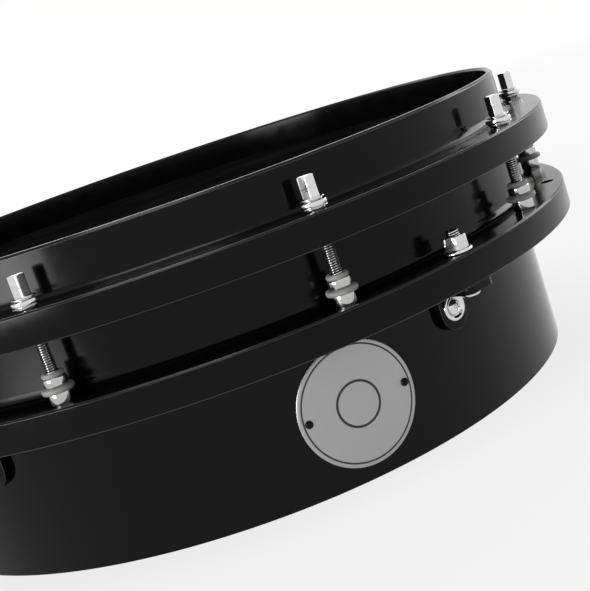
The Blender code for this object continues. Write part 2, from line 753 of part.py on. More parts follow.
def main():
    clear_scene()
    parts = new_collection("marching_snare_drum")
    cutters = new_collection("cutters")
    satin_black = new_material("satin_black", (0.020, 0.020, 0.021), 0.38, 0.0)
    gloss_black = new_material("gloss_black", (0.006, 0.006, 0.007), 0.06, 0.0)
    film_black = new_material("film_black", (0.025, 0.025, 0.026), 0.45, 0.0)
    raw_aluminium = new_material("raw_aluminium", (0.72, 0.72, 0.73), 0.35, 1.0)
    chrome = new_material("chrome", (0.86, 0.86, 0.87), 0.10, 1.0)
    satin_nickel = new_material("satin_nickel", (0.62, 0.61, 0.58), 0.28, 1.0)
    badge_silver = new_material("badge_silver", (0.70, 0.70, 0.71), 0.35, 0.8)
    rivet_black = new_material("rivet_black", (0.015, 0.015, 0.015), 0.40, 0.0)
    gut_white = new_material("gut_white", (0.72, 0.69, 0.60), 0.45, 0.0)
    make_shell(parts, cutters, gloss_black)
    make_head(parts, film_black, raw_aluminium)
    make_top_hoop(parts, cutters, satin_black)
    make_lug_ring(parts, cutters, satin_black)
    make_tension_rods(parts, chrome)
    make_washers(parts, chrome)
    make_barrels(parts, satin_nickel)
    make_brackets(parts, cutters, satin_black)
    make_ring_bolts(parts, chrome)
    make_shell_screws(parts, chrome)
    make_badge(parts, cutters, badge_silver, rivet_black)
    make_snare_strands(parts, gut_white)
    make_butt_block(parts, raw_aluminium)
    make_adjuster(parts, cutters, raw_aluminium, chrome)


main()
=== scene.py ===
"""Looks for the marching snare drum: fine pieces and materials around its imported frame.

The frame is metres with +Z up, and the origin is on the drum's axis, at the shell's lower edge.
"""
import math

import bmesh
import bpy
from mathutils import Matrix, Vector


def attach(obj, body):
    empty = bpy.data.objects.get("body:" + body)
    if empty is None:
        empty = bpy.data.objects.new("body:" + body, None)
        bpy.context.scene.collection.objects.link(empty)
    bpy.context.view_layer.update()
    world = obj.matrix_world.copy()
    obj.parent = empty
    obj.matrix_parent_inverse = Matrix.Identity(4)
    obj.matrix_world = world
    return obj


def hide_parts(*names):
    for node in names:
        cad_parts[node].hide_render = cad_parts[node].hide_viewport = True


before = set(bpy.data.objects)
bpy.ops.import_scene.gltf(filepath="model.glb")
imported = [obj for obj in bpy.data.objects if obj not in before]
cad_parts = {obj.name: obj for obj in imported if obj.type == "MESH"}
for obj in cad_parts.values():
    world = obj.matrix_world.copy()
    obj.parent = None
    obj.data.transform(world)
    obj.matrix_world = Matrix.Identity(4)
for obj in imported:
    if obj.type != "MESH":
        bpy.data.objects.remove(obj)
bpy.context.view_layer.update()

MM = 0.001

# Sizes of the drum, in metres, as the frame has them
SHELL_RADIUS = 0.1772
SHELL_INNER = 0.1708
SHELL_HEIGHT = 0.1223
BAND_RADIUS = 0.2014
BAND_WALL = 0.0028
BAND_HEIGHT = 0.0137
FLANGE_WALL = 0.0030
ROD_CIRCLE = 0.1932
HOOP_FLANGE = 0.1185
HOOP_INNER = 0.1792
HOOP_OUTER = 0.1822
HOOP_TOP = 0.1397
RING_FLANGE = 0.0782
RING_INNER = 0.1782
RING_OUTER = 0.1818
RING_TOP = 0.1030
SCREW_HEIGHT = 0.0540
HEAD_RADIUS = 0.1779
HEAD_TOP = 0.1230
HEAD_BOTTOM = 0.1077
FILM_THICKNESS = 0.0004
FLESH_INNER = 0.1782
FLESH_OUTER = 0.1854
FLESH_TOP = 0.1152
FLESH_BOTTOM = 0.1065
BADGE_HEIGHT = 0.03385
RIVET_SPREAD = 0.0231
BADGE_OUTER_RING = 0.0254
BADGE_INNER_RING = 0.0098
OUTER_RING_HALF = 0.00038
INNER_RING_HALF = 0.00055
STRAND_COUNT = 10
STRAND_RADIUS = 0.0006
END_PLATE_LENGTH = 0.0120
END_PLATE_MARGIN = 0.0030
ADJUSTER_START = 0.13518
ADJUSTER_HEIGHT = 0.1035
LUG_COUNT = 10
BRACKET_COUNT = 5
BRACKET_TURN = math.radians(-54)
BADGE_TURN = math.radians(-72.9)
SNARE_TURN = math.radians(36)
NUT_TURN = math.radians(48)

# Facets of the fine pieces
RING_STEPS = 288
SMALL_STEPS = 40
SCREW_STEPS = 96
BADGE_STEPS = 96
RIVET_STEPS = 28
HOLE_STEPS = 28
BOLT_STEPS = 60
KNOB_STEPS = 72
SHARP_ANGLE = math.radians(38)

# Threads
THREAD_PITCH = 1.0
THREAD_ROWS = 8
THREAD_DEPTH = 0.50

# Holes in the hoop and the ring, square key heads, rods, ring bolts and brackets, in millimetres
ROD_HOLE = 3.2
BARREL_HOLE = 4.5
FREE_HOLE = 3.3
ROD_HOLE_EDGE = 0.3
FREE_HOLE_EDGE = 0.35
KEY_CORNER = 0.4
KEY_HALF = 2.55
KEY_TOP = 14.75
ROD_RADIUS = 2.7
NUT_ACROSS = 10.0
KEY_SOCKET = 3.2
BRACKET_HALF = 8.1
BRACKET_PLATE = 3.2
BRACKET_TOP = 64.2
BRACKET_LEG = 20.5
BRACKET_BEND = 2.4
BRACKET_CORNER = 3.6

# The gap that the frame keeps between pieces that touch, in millimetres
GAP = 0.3

# The camera that was fitted to the photograph
PHOTO_WIDTH = 590.0
FOCAL_PIXELS = 1232.7
SENSOR_WIDTH = 36.0
CAMERA_SPOT = (0.0251955, -0.6667826, 0.1798606)
CAMERA_RIGHT = (0.944479, -0.090925, -0.315740)
CAMERA_UP = (0.326952, 0.164789, 0.930563)
CAMERA_BACK = (-0.032581, -0.982129, 0.185368)

# Brightness of the light all round
AMBIENT = 0.18

# The floor: its half size, height and colour, the share of plain white round the drum, and the radii
# between which that share rises to 1; the rest takes the drum's shadow
FLOOR_SIZE = 6.0
FLOOR_HEIGHT = -0.0003
FLOOR_COLOR = (0.80, 0.80, 0.80, 1.0)
FLOOR_WHITE = 0.80
FLOOR_WHITE_FROM = 0.6
FLOOR_WHITE_FULL = 2.4


def link(name, mesh, materials, turn=None):
    item = bpy.data.objects.new(name, mesh)
    bpy.context.scene.collection.objects.link(item)
    if not mesh.materials:
        for material in materials:
            mesh.materials.append(material)
    if turn is not None:
        item.matrix_world = turn
    return item


def finish_mesh(name, verts, faces, slots=None, merge=1e-7):
    mesh = bpy.data.meshes.new(name)
    mesh.from_pydata(verts, [], faces)
    if slots:
        mesh.polygons.foreach_set("material_index", slots)
    shape = bmesh.new()
    shape.from_mesh(mesh)
    bmesh.ops.remove_doubles(shape, verts=shape.verts, dist=merge)
    bmesh.ops.recalc_face_normals(shape, faces=shape.faces)
    shape.to_mesh(mesh)
    shape.free()
    smooth(mesh)
    return mesh


def smooth(mesh):
    mesh.shade_smooth()
    mesh.set_sharp_from_angle(angle=SHARP_ANGLE)


def polar(name, rows, angles, slots=None, closed=False):
    """A surface of rows of (radius, height) around Z. A row may give a function of the angle."""
    verts = []
    for row in rows:
        for angle in angles:
            radius, height = row(angle) if callable(row) else row
            verts.append((radius * math.cos(angle), radius * math.sin(angle), height))
    count = len(angles)
    faces = []
    marks = []
    last = len(rows) if closed else len(rows) - 1
    for i in range(last):
        below = (i + 1) % len(rows)
        for j in range(count):
            k = (j + 1) % count
            faces.append((i * count + j, below * count + j, below * count + k, i * count + k))
            marks.append(slots[i] if slots else 0)
    return finish_mesh(name, verts, faces, marks)


def even(count, start=0.0):
    return [start + 2 * math.pi * i / count for i in range(count)]


def rounded(corners, steps=4):
    """A closed outline of (x, z, radius) corners with each corner rounded by its radius."""
    points = []
    count = len(corners)
    for i, (x, z, radius) in enumerate(corners):
        if radius <= 0:
            points.append((x, z))
            continue
        here = Vector((x, z))
        back = (Vector(corners[i - 1][:2]) - here).normalized()
        ahead = (Vector(corners[(i + 1) % count][:2]) - here).normalized()
        opening = back.angle(ahead)
        center = here + (back + ahead).normalized() * (radius / math.sin(opening / 2))
        start = here + back * (radius / math.tan(opening / 2)) - center
        end = here + ahead * (radius / math.tan(opening / 2)) - center
        first = math.atan2(start.y, start.x)
        sweep = math.atan2(end.y, end.x) - first
        sweep = (sweep + math.pi) % (2 * math.pi) - math.pi
        for step in range(steps + 1):
            turn = first + sweep * step / steps
            points.append((center.x + radius * math.cos(turn), center.y + radius * math.sin(turn)))
    return points


def boolean(item, cutter, operation="DIFFERENCE"):
    step = item.modifiers.new("cut", "BOOLEAN")
    step.operation = operation
    step.solver = "EXACT"
    step.object = cutter
    bpy.context.view_layer.update()
    graph = bpy.context.evaluated_depsgraph_get()
    mesh = bpy.data.meshes.new_from_object(item.evaluated_get(graph))
    item.modifiers.clear()
    item.data = mesh
    bpy.data.objects.remove(cutter)
    smooth(mesh)


def around(turn, radius, height):
    return Matrix.Rotation(turn, 4, "Z") @ Matrix.Translation((radius, 0.0, height))


def outwards(turn, radius, height):
    return around(turn, radius, height) @ Matrix.Rotation(math.radians(90), 4, "Y")


def lug_turns():
    return even(LUG_COUNT)


def gap_turns():
    return even(LUG_COUNT, math.pi / LUG_COUNT)


def bracket_turns():
    return even(BRACKET_COUNT, BRACKET_TURN)


def scaled(rows):
    """Rows written in millimetres, in metres."""
    return [(r * MM, z * MM) for r, z in rows]


def new_material(name, color, roughness, metallic=0.0, specular=0.5):
    material = bpy.data.materials.new(name)
    material.use_nodes = True
    shader = material.node_tree.nodes["Principled BSDF"]
    shader.inputs["Base Color"].default_value = (*color, 1.0)
    shader.inputs["Roughness"].default_value = roughness
    shader.inputs["Metallic"].default_value = metallic
    shader.inputs["Specular IOR Level"].default_value = specular
    return material


class Nodes:
    """Short calls for one material's node tree."""

    def __init__(self, material):
        self.tree = material.node_tree
        self.shader = self.tree.nodes["Principled BSDF"]

    def add(self, kind, **settings):
        node = self.tree.nodes.new(kind)
        for key, value in settings.items():
            setattr(node, key, value)
        return node

    def join(self, source, target):
        self.tree.links.new(source, target)

    def place(self):
        return self.add("ShaderNodeTexCoord").outputs["Object"]

    def stretch(self, vector, scale):
        node = self.add("ShaderNodeMapping")
        node.inputs["Scale"].default_value = scale
        self.join(vector, node.inputs["Vector"])
        return node.outputs["Vector"]

    def math(self, operation, *values):
        node = self.add("ShaderNodeMath", operation=operation)
        for socket, value in zip(node.inputs, values):
            if isinstance(value, (int, float)):
                socket.default_value = value
            else:
                self.join(value, socket)
        return node.outputs[0]

    def noise(self, vector, scale, detail=3.0, rough=0.55):
        node = self.add("ShaderNodeTexNoise")
        node.inputs["Scale"].default_value = scale
        node.inputs["Detail"].default_value = detail
        node.inputs["Roughness"].default_value = rough
        self.join(vector, node.inputs["Vector"])
        return node.outputs["Fac"]

    def spread(self, value, low, high, new_low, new_high):
        node = self.add("ShaderNodeMapRange")
        names = ("From Min", "From Max", "To Min", "To Max")
        for name, number in zip(names, (low, high, new_low, new_high)):
            node.inputs[name].default_value = number
        self.join(value, node.inputs["Value"])
        return node.outputs["Result"]

    def blend(self, factor, first, second):
        node = self.add("ShaderNodeMix", data_type="RGBA")
        sockets = [s for s in node.inputs if s.type == "RGBA"]
        for socket, value in zip(sockets, (first, second)):
            if isinstance(value, tuple):
                socket.default_value = (*value, 1.0)
            else:
                self.join(value, socket)
        self.join(factor, node.inputs[0])
        return [s for s in node.outputs if s.type == "RGBA"][0]

    def bump(self, height, strength, distance):
        node = self.add("ShaderNodeBump")
        node.inputs["Strength"].default_value = strength
        node.inputs["Distance"].default_value = distance
        self.join(height, node.inputs["Height"])
        self.join(node.outputs["Normal"], self.shader.inputs["Normal"])

    def radius(self, vector):
        flat = self.add("ShaderNodeVectorMath", operation="MULTIPLY")
        flat.inputs[1].default_value = (1.0, 1.0, 0.0)
        self.join(vector, flat.inputs[0])
        length = self.add("ShaderNodeVectorMath", operation="LENGTH")
        self.join(flat.outputs[0], length.inputs[0])
        return length.outputs["Value"]

    def split(self, vector):
        node = self.add("ShaderNodeSeparateXYZ")
        self.join(vector, node.inputs[0])
        return node.outputs

    def gather(self, x, y, z):
        node = self.add("ShaderNodeCombineXYZ")
        for socket, value in zip(node.inputs, (x, y, z)):
            if isinstance(value, (int, float)):
                socket.default_value = value
            else:
                self.join(value, socket)
        return node.outputs[0]


def gloss_black():
    """High-gloss black lacquer: smooth, with a faint orange peel and fine dust of wear."""
    material = new_material("gloss_black_lacquer", (0.002, 0.002, 0.0022), 0.04, specular=0.15)
    n = Nodes(material)
    spot = n.place()
    cloud = n.noise(spot, 14.0, 4.0)
    n.join(n.blend(cloud, (0.0010, 0.0010, 0.0011), (0.0022, 0.0022, 0.0024)), n.shader.inputs["Base Color"])
    n.join(n.spread(n.noise(spot, 40.0, 5.0), 0.35, 0.7, 0.025, 0.060), n.shader.inputs["Roughness"])
    n.bump(n.noise(spot, 420.0, 2.0), 0.02, 0.0002)
    return material


def satin_black(name, grain=1500.0, rough=0.15, specular=0.13):
    """Satin black powder coat with a fine grain."""
    material = new_material(name, (0.004, 0.004, 0.0043), rough, specular=specular)
    n = Nodes(material)
    spot = n.place()
    cloud = n.noise(spot, 22.0, 5.0)
    n.join(n.blend(cloud, (0.0014, 0.0014, 0.0015), (0.0032, 0.0032, 0.0034)), n.shader.inputs["Base Color"])
    n.join(n.spread(n.noise(spot, 90.0, 4.0), 0.3, 0.7, rough - 0.03, rough + 0.05),
           n.shader.inputs["Roughness"])
    n.bump(n.noise(spot, grain, 2.0), 0.05, 0.0002)
    return material


def painted_edge_highlight():
    """The coat on the rings' edges as a painted highlight: a lighter, half-metallic coat that stands in for
    the thin lines of light along the edges.
    """
    material = new_material("satin_black_edge_painted_highlight", (0.12, 0.12, 0.121), 0.22, metallic=0.7, specular=0.6)
    n = Nodes(material)
    spot = n.place()
    highlight_mottle = n.noise(spot, 60.0, 6.0, 0.65)
    # painted highlight: the edge's base colour, far lighter than the coat, stands in for the line of light
    # along the edge
    n.join(n.blend(n.spread(highlight_mottle, 0.3, 0.7, 0.0, 1.0), (0.08, 0.08, 0.081), (0.24, 0.24, 0.242)),
           n.shader.inputs["Base Color"])
    n.join(n.spread(highlight_mottle, 0.3, 0.7, 0.18, 0.30), n.shader.inputs["Roughness"])
    n.bump(n.noise(spot, 1500.0, 2.0), 0.06, 0.0002)
    return material


def painted_faint_edge_highlight():
    """The coat on an edge as a fainter painted highlight: a soft grey line painted where the edge would catch
    the light.
    """
    material = new_material("satin_black_rim_painted_highlight", (0.02, 0.02, 0.0203), 0.22, specular=0.5)
    n = Nodes(material)
    spot = n.place()
    highlight_mottle = n.noise(spot, 70.0, 5.0, 0.6)
    # painted highlight: a soft grey base colour, lighter than the coat, for the fainter line of light on the
    # edge
    n.join(n.blend(n.spread(highlight_mottle, 0.3, 0.7, 0.0, 1.0), (0.012, 0.012, 0.0122), (0.035, 0.035, 0.0353)),
           n.shader.inputs["Base Color"])
    n.join(n.spread(highlight_mottle, 0.3, 0.7, 0.18, 0.28), n.shader.inputs["Roughness"])
    n.bump(n.noise(spot, 1500.0, 2.0), 0.05, 0.0002)
    return material


def film_black():
    """Black film over a fine weave of two thread directions, with a few scuffs from sticks."""
    material = new_material("black_film", (0.006, 0.006, 0.0065), 0.34, specular=0.0)
    n = Nodes(material)
    x, y, _ = n.split(n.place())
    warp = n.math("SINE", n.math("MULTIPLY", x, 7000.0))
    weft = n.math("SINE", n.math("MULTIPLY", y, 7000.0))
    weave = n.math("MULTIPLY", warp, weft)
    scuff = n.noise(n.place(), 26.0, 6.0, 0.65)
    n.join(n.blend(n.spread(scuff, 0.45, 0.75, 0.0, 1.0), (0.004, 0.004, 0.0045), (0.010, 0.010, 0.0105)),
           n.shader.inputs["Base Color"])
    n.join(n.spread(scuff, 0.3, 0.7, 0.28, 0.42), n.shader.inputs["Roughness"])
    n.bump(weave, 0.12, 0.0001)
    return material


def metal(name, color, low, high, brushed=None, strength=0.04):
    """A bare or plated metal. brushed gives the scale of the grain along each axis."""
    material = new_material(name, color, (low + high) / 2, metallic=1.0)
    n = Nodes(material)
    spot = n.place()
    dark = tuple(c * 0.86 for c in color)
    n.join(n.blend(n.noise(spot, 120.0, 4.0), dark, color), n.shader.inputs["Base Color"])
    n.join(n.spread(n.noise(spot, 300.0, 4.0), 0.3, 0.7, low, high), n.shader.inputs["Roughness"])
    grain = n.stretch(spot, brushed) if brushed else spot
    n.bump(n.noise(grain, 1.0 if brushed else 900.0, 3.0), strength, 0.0002)
    return material


def cut_thread():
    """Bright crests and roots painted near black as painted shade in the grooves, which follow the helix of
    the thread.
    """
    material = new_material("cut_thread", (0.6, 0.6, 0.61), 0.15, metallic=1.0)
    n = Nodes(material)
    spot = n.place()
    x, y, z = n.split(spot)
    turn = n.math("DIVIDE", n.math("ARCTAN2", y, x), 2 * math.pi)
    phase = n.math("FRACT", n.math("SUBTRACT", n.math("DIVIDE", z, THREAD_PITCH * MM), turn))
    rise = n.math("MULTIPLY", n.math("ABSOLUTE", n.math("SUBTRACT", phase, 0.5)), 2.0)
    # painted shade: the roots of the thread are painted near black, where the grooves would be in shade
    root_shade = n.spread(rise, 0.30, 0.52, 0.0, 1.0)
    n.join(n.blend(root_shade, (0.82, 0.82, 0.83), (0.006, 0.006, 0.006)), n.shader.inputs["Base Color"])
    n.join(n.spread(root_shade, 0.0, 1.0, 0.10, 0.45), n.shader.inputs["Roughness"])
    n.bump(n.noise(spot, 1500.0, 2.0), 0.05, 0.0001)
    return material


def turned_nickel():
    """Satin nickel with the fine rings that turning leaves."""
    material = new_material("turned_nickel", (0.50, 0.50, 0.49), 0.18, metallic=1.0)
    n = Nodes(material)
    spot = n.place()
    n.join(n.blend(n.noise(spot, 200.0), (0.44, 0.44, 0.43), (0.55, 0.55, 0.54)),
           n.shader.inputs["Base Color"])
    n.join(n.spread(n.noise(spot, 500.0), 0.3, 0.7, 0.07, 0.13), n.shader.inputs["Roughness"])
    n.bump(n.noise(n.stretch(spot, (30.0, 30.0, 9000.0)), 1.0, 2.0), 0.05, 0.0001)
    return material


def nylon():
    """Grey moulded nylon with a slight mottle."""
    material = new_material("grey_nylon", (0.36, 0.36, 0.36), 0.42, specular=0.4)
    n = Nodes(material)
    spot = n.place()
    n.join(n.blend(n.noise(spot, 260.0), (0.31, 0.31, 0.31), (0.41, 0.41, 0.405)),
           n.shader.inputs["Base Color"])
    n.join(n.spread(n.noise(spot, 700.0), 0.3, 0.7, 0.36, 0.5), n.shader.inputs["Roughness"])
    n.bump(n.noise(spot, 1800.0), 0.08, 0.0001)
    return material


def maple():
    """Clear-coated veneer inside the shell, its grain running round."""
    material = new_material("maple_veneer", (0.55, 0.38, 0.22), 0.4, specular=0.4)
    n = Nodes(material)
    spot = n.place()
    x, y, z = n.split(spot)
    turn = n.math("ARCTAN2", y, x)
    path = n.gather(n.math("MULTIPLY", turn, 3.0), n.math("MULTIPLY", z, 260.0),
                    n.math("MULTIPLY", n.radius(spot), 900.0))
    grain = n.noise(path, 1.0, 6.0, 0.6)
    color = n.blend(n.spread(grain, 0.3, 0.72, 0.0, 1.0), (0.60, 0.42, 0.25), (0.38, 0.235, 0.125))
    n.join(color, n.shader.inputs["Base Color"])
    n.join(n.spread(grain, 0.3, 0.7, 0.34, 0.5), n.shader.inputs["Roughness"])
    n.bump(grain, 0.06, 0.0003)
    return material


def plies():
    """The cut edge of the shell: thin layers of veneer, seen as rings."""
    material = new_material("shell_plies", (0.5, 0.35, 0.2), 0.55, specular=0.3)
    n = Nodes(material)
    spot = n.place()
    radius = n.radius(spot)
    layer = n.math("FRACT", n.math("MULTIPLY", radius, 1100.0))
    line = n.math("GREATER_THAN", layer, 0.5)
    fiber = n.noise(n.stretch(spot, (900.0, 900.0, 60.0)), 1.0, 3.0)
    tone = n.math("ADD", n.math("MULTIPLY", line, 0.6), n.math("MULTIPLY", fiber, 0.4))
    n.join(n.blend(tone, (0.56, 0.40, 0.235), (0.33, 0.205, 0.11)), n.shader.inputs["Base Color"])
    n.join(n.spread(fiber, 0.3, 0.7, 0.5, 0.65), n.shader.inputs["Roughness"])
    n.bump(fiber, 0.15, 0.0002)
    return material


def badge_metal():
    """Matt silver with two printed black rings."""
    material = new_material("badge_metal", (0.45, 0.45, 0.453), 0.42, metallic=0.75)
    n = Nodes(material)
    spot = n.place()
    radius = n.radius(spot)
    marks = []
    lines = ((BADGE_OUTER_RING, OUTER_RING_HALF), (BADGE_INNER_RING, INNER_RING_HALF))
    for middle, half in lines:
        away = n.math("ABSOLUTE", n.math("SUBTRACT", radius, middle))
        marks.append(n.math("LESS_THAN", away, half))
    ring = n.math("MAXIMUM", *marks)
    grain = n.noise(n.stretch(spot, (60.0, 4200.0, 60.0)), 1.0, 3.0)
    silver = n.blend(grain, (0.37, 0.37, 0.374), (0.46, 0.46, 0.462))
    n.join(n.blend(ring, silver, (0.012, 0.012, 0.012)), n.shader.inputs["Base Color"])
    n.join(n.math("SUBTRACT", 0.75, n.math("MULTIPLY", ring, 0.75)), n.shader.inputs["Metallic"])
    n.join(n.spread(grain, 0.3, 0.7, 0.38, 0.48), n.shader.inputs["Roughness"])
    n.bump(grain, 0.05, 0.0001)
    return material


def gut():
    """Cured gut: cream, slightly waxy, with the twist of the strand as fine ridges."""
    material = new_material("cured_gut", (0.70, 0.62, 0.46), 0.38, specular=0.5)
    n = Nodes(material)
    spot = n.place()
    x, y, z = n.split(spot)
    along = n.math("MULTIPLY", x, 5200.0)
    across = n.math("MULTIPLY", n.math("ADD", y, z), 5200.0)
    twist = n.math("SINE", n.math("ADD", along, across))
    n.join(n.blend(n.noise(spot, 400.0), (0.62, 0.53, 0.37), (0.76, 0.69, 0.54)),
           n.shader.inputs["Base Color"])
    n.join(n.spread(n.noise(spot, 900.0), 0.3, 0.7, 0.32, 0.46), n.shader.inputs["Roughness"])
    n.bump(twist, 0.2, 0.0001)
    return material


LACQUER = gloss_black()
HOOP_BLACK = satin_black("satin_black_coat")
# edge coats with painted highlights, for the edges of the rings and the brackets
HOOP_EDGE_HIGHLIGHT = painted_edge_highlight()
HOOP_RIM_HIGHLIGHT = painted_faint_edge_highlight()
BRACKET_BLACK = satin_black("bracket_black_coat", grain=900.0, rough=0.20, specular=0.14)
RIVET_BLACK = satin_black("rivet_black_oxide", grain=2500.0, rough=0.4)
FILM = film_black()
ALUMINIUM = metal("raw_aluminium_drawn", (0.70, 0.70, 0.71), 0.26, 0.40, (20.0, 20.0, 6000.0), 0.15)
CHROME = metal("bright_chrome", (0.72, 0.72, 0.73), 0.04, 0.09)
THREAD = cut_thread()
NICKEL = turned_nickel()
NYLON = nylon()
MAPLE = maple()
PLIES = plies()
BADGE_METAL = badge_metal()
GUT = gut()


def stand_for(item, body, slot, *nodes):
    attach(item, body)
    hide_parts(*nodes)
    return item


def make_shell():
    """Lacquer outside, veneer inside, and the cut plies on both edges."""
    corners = [
        (SHELL_RADIUS, SHELL_HEIGHT, 1.4 * MM),
        (SHELL_RADIUS, 0.0, 0.5 * MM),
        (SHELL_INNER, 0.0, 0.5 * MM),
        (SHELL_INNER, SHELL_HEIGHT - 4.0 * MM, 1.0 * MM),
        (SHELL_RADIUS - 2.4 * MM, SHELL_HEIGHT, 0.5 * MM),
    ]
    points = rounded(corners, 5)
    slots = []
    for i, (radius, height) in enumerate(points):
        after_radius, after_height = points[(i + 1) % len(points)]
        middle = (radius + after_radius) / 2
        level = (height + after_height) / 2
        if middle > SHELL_RADIUS - 0.2 * MM:
            slots.append(0)
        elif level < 0.3 * MM or level > SHELL_HEIGHT - 4.5 * MM:
            slots.append(2)
        else:
            slots.append(1)
    mesh = polar("shell_detail", points, even(RING_STEPS), slots, closed=True)
    shell = link("shell_detail", mesh, [LACQUER, MAPLE, PLIES])
    stand_for(shell, "drum_body", "gloss_black", "shell")


def make_head():
    """The film with its turned-down collar, and the flesh hoop that holds it."""
    top = HEAD_TOP
    outer = HEAD_RADIUS
    under = FILM_THICKNESS
    corners = [
        (outer, top, 1.9 * MM),
        (outer, HEAD_BOTTOM, 0.1 * MM),
        (outer - under, HEAD_BOTTOM, 0.1 * MM),
        (outer - under, top - under, 1.6 * MM),
    ]
    skirt = rounded(corners, 6)
    start = skirt.index(max(skirt, key=lambda p: (round(p[1], 7), -p[0])))
    ordered = skirt[start:] + skirt[:start]
    rows = [(0.0, top), (0.06, top), (0.12, top)]
    rows += ordered
    rows += [(0.12, top - under), (0.06, top - under), (0.0, top - under)]
    head = link("batter_head_detail", polar("batter_head_detail", rows, even(RING_STEPS)), [FILM])
    stand_for(head, "drum_body", "film_black", "batter_head")
    corners = [
        (FLESH_OUTER, FLESH_TOP, 1.2 * MM),
        (FLESH_OUTER, FLESH_BOTTOM, 1.2 * MM),
        (FLESH_INNER, FLESH_BOTTOM, 0.4 * MM),
        (FLESH_INNER, FLESH_TOP, 0.4 * MM),
    ]
    mesh = polar("flesh_hoop_detail", rounded(corners), even(RING_STEPS), closed=True)
    flesh = link("flesh_hoop_detail", mesh, [ALUMINIUM])
    stand_for(flesh, "hoop", "raw_aluminium", "flesh_hoop")


def ring_section(inner, outer, top, flange, fillet, rim):
    """The section of the hoop and the lug ring, with 1 for an edge with a painted highlight and 2 for one
    with a fainter painted highlight.
    """
    bottom = flange - BAND_HEIGHT
    band_inner = BAND_RADIUS - BAND_WALL
    chamfer = 0.75 * MM
    half = 6.6 * MM
    corners = [
        (outer - rim, top, 0.50 * MM, 1),
        (outer, top - rim, 0.30 * MM, 2),
        (outer, flange, fillet, 0),
        (ROD_CIRCLE - half, flange, 0.0, 0),
        (ROD_CIRCLE + half, flange, 0.0, 0),
        (BAND_RADIUS - chamfer, flange, 0.25 * MM, 1),
        (BAND_RADIUS, flange - chamfer, 0.25 * MM, 2),
        (BAND_RADIUS, bottom, 0.40 * MM, 2),
        (band_inner, bottom, 0.35 * MM, 0),
        (band_inner, flange - FLANGE_WALL, 0.8 * MM, 0),
        (ROD_CIRCLE - half, flange - FLANGE_WALL, 0.0, 0),
        (inner, flange - FLANGE_WALL, 0.35 * MM, 0),
        (inner, top - rim, 0.25 * MM, 0),
        (inner + rim, top, 0.25 * MM, 2),
    ]
    steps = 5
    slots = []
    for _, _, radius, edge in corners:
        slots += [edge] * steps + [0] if radius > 0 else [0]
    return rounded([corner[:3] for corner in corners], steps), slots


def hole_cutter(places, radius, chamfer):
    """Cylinders with a small countersink at the flange's top and bottom."""
    wall = FLANGE_WALL / MM
    edge = radius + chamfer
    rows = scaled([(0.0, 3.0), (edge + 3.0, 3.0), (radius, -chamfer), (radius, chamfer - wall),
                   (edge + 3.0, -wall - 3.0), (0.0, -wall - 3.0)])
    mesh = polar("cutter", rows, even(HOLE_STEPS))
    shape = bmesh.new()
    for place in places:
        copy = mesh.copy()
        copy.transform(place)
        shape.from_mesh(copy)
        bpy.data.meshes.remove(copy)
    joined = bpy.data.meshes.new("cutters")
    shape.to_mesh(joined)
    shape.free()
    return link("cutters", joined, [])


def make_rings():
    section, slots = ring_section(HOOP_INNER, HOOP_OUTER, HOOP_TOP, HOOP_FLANGE, 4.0 * MM, 1.1 * MM)
    mesh = polar("top_hoop_detail", section, even(RING_STEPS), slots, closed=True)
    hoop = link("top_hoop_detail", mesh, [HOOP_BLACK, HOOP_EDGE_HIGHLIGHT, HOOP_RIM_HIGHLIGHT])
    places = [around(turn, ROD_CIRCLE, HOOP_FLANGE) for turn in lug_turns()]
    boolean(hoop, hole_cutter(places, ROD_HOLE, ROD_HOLE_EDGE))
    stand_for(hoop, "hoop", "satin_black", "top_hoop")
    section, slots = ring_section(RING_INNER, RING_OUTER, RING_TOP, RING_FLANGE, 5.0 * MM, 1.1 * MM)
    mesh = polar("lug_ring_detail", section, even(RING_STEPS), slots, closed=True)
    ring = link("lug_ring_detail", mesh, [HOOP_BLACK, HOOP_EDGE_HIGHLIGHT, HOOP_RIM_HIGHLIGHT])
    places = [around(turn, ROD_CIRCLE, RING_FLANGE) for turn in lug_turns()]
    boolean(ring, hole_cutter(places, BARREL_HOLE, ROD_HOLE_EDGE))
    places = [around(turn, ROD_CIRCLE, RING_FLANGE) for turn in gap_turns()]
    boolean(ring, hole_cutter(places, FREE_HOLE, FREE_HOLE_EDGE))
    stand_for(ring, "drum_body", "satin_black", "lug_ring")


def thread_rows(start, end, major):
    """Rows of a thread from start down to end, in millimetres, that fade in and out."""
    pitch = THREAD_PITCH
    rows = []
    count = round((start - end) / pitch * THREAD_ROWS)
    for i in range(count + 1):
        height = start - (start - end) * i / count
        fade = min(1.0, (start - height) / pitch, (height - end) / pitch)

        def row(angle, height=height, fade=fade):
            phase = (height / pitch - angle / (2 * math.pi)) % 1.0
            rise = abs(phase - 0.5) * 2
            groove = min(1.0, max(0.0, (rise - 0.12) / 0.76))
            return (major - THREAD_DEPTH * groove * fade) * MM, height * MM

        rows.append(row)
    return rows


def key_angles():
    quarter = [0, 12, 22, 30, 35, 38, 41.5, 45, 48.5, 52, 55, 60, 68, 78]
    return [math.radians(90 * q + a) for q in range(4) for a in quarter]


def square(angle, half, corner):
    """The radius of a rounded square at an angle, in millimetres."""
    local = (angle + math.pi / 4) % (math.pi / 2) - math.pi / 4
    inner = half - corner
    cosine = math.cos(local)
    sine = abs(math.sin(local))
    if sine / cosine <= inner / half:
        return half / cosine
    arc = max(0.0, inner * inner * (2 * sine * cosine - 1) + corner * corner)
    return inner * (cosine + sine) + math.sqrt(arc)


def key_row(share, half, top, inset=0.0, drop=0.0):
    def row(angle):
        radius = (square(angle, half, KEY_CORNER) - inset) * share
        dome = top - 0.05 * radius * radius - drop
        return radius * MM, dome * MM

    return row


def key_side(half, height):
    def row(angle):
        return square(angle, half, KEY_CORNER) * MM, height * MM

    return row


